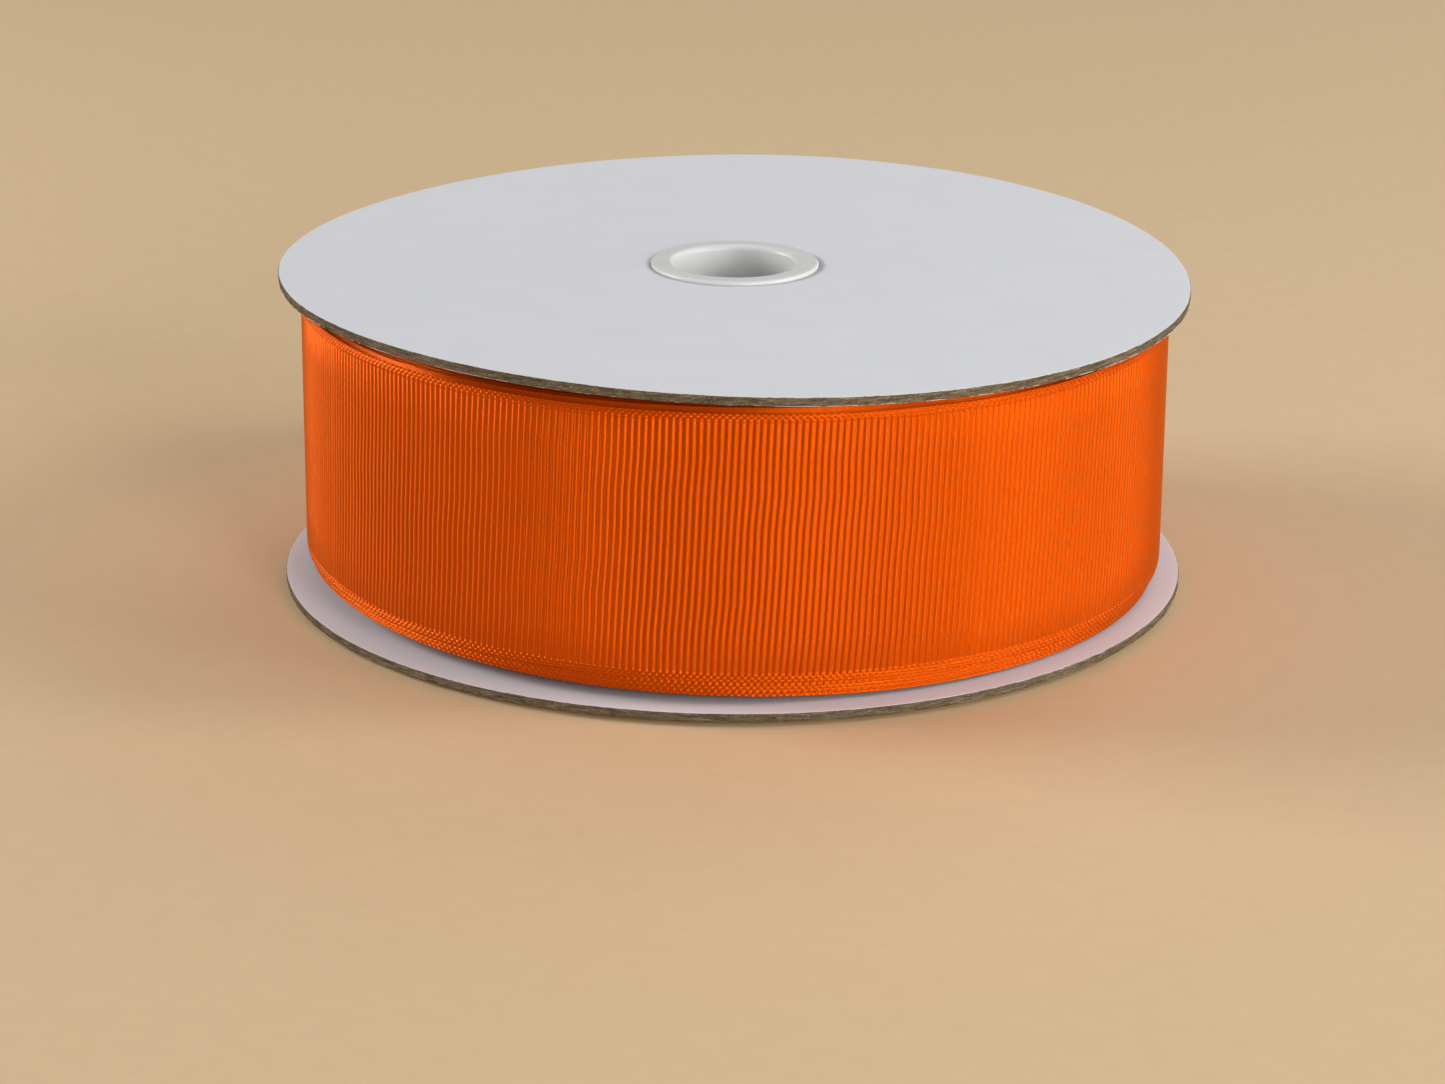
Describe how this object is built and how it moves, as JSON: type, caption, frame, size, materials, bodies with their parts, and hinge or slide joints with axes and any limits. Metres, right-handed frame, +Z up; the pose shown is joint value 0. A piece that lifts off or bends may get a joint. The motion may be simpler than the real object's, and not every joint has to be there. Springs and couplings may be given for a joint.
{
  "type": "ribbon spool",
  "caption": "Spool of wide ribbed ribbon wound on a paper tube between flat white card discs, held by a snap-together plastic hub with a hole right through; the free end lifts off.",
  "frame": {"origin": "centre of the surface that the lower hub lip stands on, at the bottom centre of the bounding box", "axes": "+Z up along the spool's axis; the ribbon winds anticlockwise seen from above, and its free end starts to lift off 96 degrees round from +X towards +Y"},
  "size_m": [0.134, 0.134, 0.0477],
  "materials": {
    "chipboard": "matte",
    "white_paper": "satin",
    "hub_plastic": "satin",
    "kraft_tube": "matte",
    "grosgrain": "satin",
    "clear_tape": "gloss"
  },
  "bodies": {
    "core": {"hub_socket": "hub_plastic", "hub_plug": "hub_plastic", "winding_tube": "kraft_tube", "start_tape": "clear_tape", "ribbon_roll": "grosgrain"},
    "upper_disc": {"upper_board": "chipboard", "upper_outer_liner": "white_paper", "upper_inner_liner": "white_paper"},
    "lower_disc": {"lower_board": "chipboard", "lower_outer_liner": "white_paper", "lower_inner_liner": "white_paper"},
    "free_end": {"ribbon_tail": "grosgrain", "tail_tape": "clear_tape"}
  },
  "joints": [
    {"name": "upper_disc_turn", "type": "hinge", "parent": "core", "child": "upper_disc", "pos_m": [0, 0, 0.04655], "axis": [0, 0, 1], "continuous": true},
    {"name": "lower_disc_turn", "type": "hinge", "parent": "core", "child": "lower_disc", "pos_m": [0, 0, 0.00115], "axis": [0, 0, 1], "continuous": true},
    {"name": "free_end_lift", "type": "hinge", "parent": "core", "child": "free_end", "pos_m": [-0.00671, 0.0638, 0.0234], "axis": [0, 0, -1], "range_deg": [0, 75]}
  ]
}
